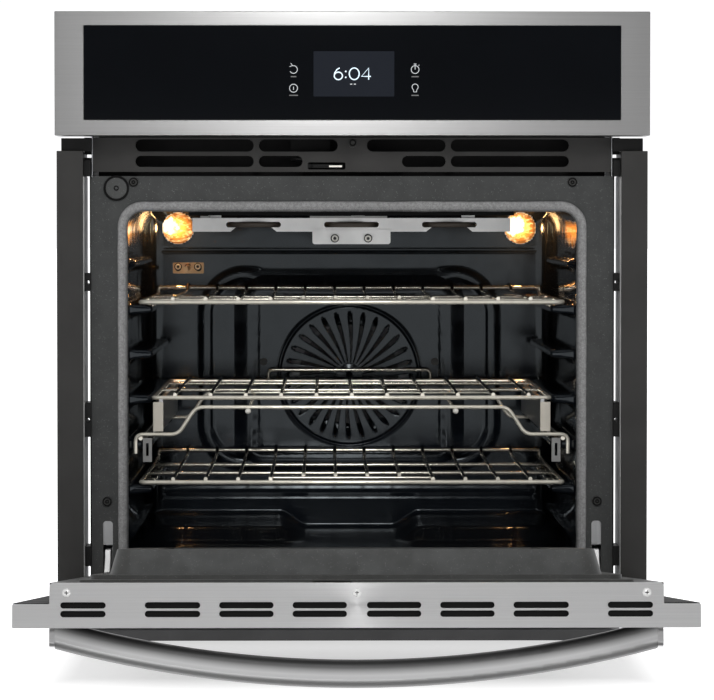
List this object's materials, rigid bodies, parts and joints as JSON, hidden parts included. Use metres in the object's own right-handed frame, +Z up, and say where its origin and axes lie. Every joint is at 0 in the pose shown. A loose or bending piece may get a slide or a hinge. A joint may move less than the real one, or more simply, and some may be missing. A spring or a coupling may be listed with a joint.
{
  "type": "wall oven",
  "caption": "Built-in single electric wall oven with a glass control panel, drop-down door with a bowed handle, convection fan, lamps and sliding racks.",
  "frame": {"origin": "centre of the base's underside, midway between the chassis sides and between its front frame and its rear panel", "axes": "+X to the right seen from the front, +Y from the door to the rear panel, +Z up"},
  "size_m": [0.686, 1.1328, 0.73],
  "materials": {
    "chassis_steel": "satin",
    "stainless": "brushed",
    "frame_enamel": "speckled porcelain enamel, satin",
    "cavity_enamel": "glossy porcelain enamel",
    "dark_paint": "satin",
    "black_glass": "polished",
    "window_glass": "polished",
    "lens_glass": "polished",
    "rack_wire": "plated",
    "element_sheath": "oxidised, matt",
    "bright_steel": "satin",
    "sensor_brass": "satin",
    "gasket_weave": "woven",
    "insulation": "matt",
    "electronics": "matt",
    "motor_body": "satin",
    "bulb_glass": "clear"
  },
  "bodies": {
    "chassis": {"base_pan": "chassis_steel", "left_side_panel": "chassis_steel", "right_side_panel": "chassis_steel", "top_cover": "chassis_steel", "rear_panel": "chassis_steel", "front_frame": "frame_enamel", "liner_left_wall": "cavity_enamel", "liner_right_wall": "cavity_enamel", "liner_roof": "cavity_enamel", "liner_floor": "cavity_enamel", "liner_back_wall": "cavity_enamel", "insulation_blanket": "insulation", "door_gasket": "gasket_weave", "vent_plate": "dark_paint", "control_trim": "stainless", "control_glass": "black_glass", "display_module": "electronics", "control_board": "electronics", "control_tray": "chassis_steel", "side_trims": "dark_paint", "bottom_trim": "dark_paint", "trim_brackets": "dark_paint", "frame_screws": "bright_steel", "frame_plug": "dark_paint", "hinge_receivers": "bright_steel", "hinge_arms": "bright_steel", "broil_element": "element_sheath", "broil_bracket": "bright_steel", "bracket_plate": "bright_steel", "bake_element": "element_sheath", "convection_element": "element_sheath", "fan_cover": "cavity_enamel", "cavity_screws": "bright_steel", "fan_motor": "motor_body", "blower_housing": "chassis_steel", "blower_motor": "motor_body", "lamp_housings": "bright_steel", "lamp_bulbs": "bulb_glass", "lamp_lenses": "lens_glass", "temperature_sensor": "sensor_brass", "latch_motor": "motor_body", "power_inlet": "bright_steel", "glide_base_frame": "rack_wire"},
    "convection_fan": {"convection_fan": "bright_steel"},
    "blower_wheel": {"blower_wheel": "bright_steel"},
    "latch": {"latch_hook": "bright_steel"},
    "upper_rack": {"upper_rack": "rack_wire"},
    "lower_rack": {"lower_rack": "rack_wire"},
    "glide_slides": {"glide_slides": "bright_steel"},
    "glide_shelf": {"glide_shelf": "rack_wire"},
    "door": {"door_skin": "stainless", "door_outer_glass": "black_glass", "door_inner_glass": "window_glass", "door_insulation": "insulation", "door_liner": "frame_enamel", "door_end_plate": "stainless", "door_end_screws": "bright_steel", "door_hinges": "bright_steel", "handle_bar": "stainless", "handle_mounts": "bright_steel"}
  },
  "joints": [
    {"name": "door_hinge", "type": "hinge", "parent": "chassis", "child": "door", "pos_m": [0, -0.32, 0.0605], "axis": [-1, 0, 0], "range_deg": [0, 84.3]},
    {"name": "upper_rack_slide", "type": "slide", "parent": "chassis", "child": "upper_rack", "axis": [0, 1, 0], "range_m": [-0.25, 0]},
    {"name": "lower_rack_slide", "type": "slide", "parent": "chassis", "child": "lower_rack", "axis": [0, 1, 0], "range_m": [-0.25, 0]},
    {"name": "glide_shelf_slide", "type": "slide", "parent": "chassis", "child": "glide_shelf", "axis": [0, 1, 0], "range_m": [-0.3, 0]},
    {"name": "glide_slides_slide", "type": "slide", "parent": "chassis", "child": "glide_slides", "axis": [0, 1, 0], "range_m": [-0.15, 0]},
    {"name": "convection_fan_spin", "type": "hinge", "parent": "chassis", "child": "convection_fan", "pos_m": [0, 0.215, 0.2856], "axis": [0, 1, 0], "continuous": true},
    {"name": "blower_spin", "type": "hinge", "parent": "chassis", "child": "blower_wheel", "pos_m": [0, 0.04, 0.553], "axis": [0, 0, 1], "continuous": true},
    {"name": "latch_swing", "type": "hinge", "parent": "chassis", "child": "latch", "pos_m": [-0.052, -0.281, 0.553], "axis": [0, 0, -1], "range_deg": [0, 45]}
  ],
  "couplings": [
    {"joint": "glide_slides_slide", "follows": "glide_shelf_slide", "ratio": 0.5}
  ]
}
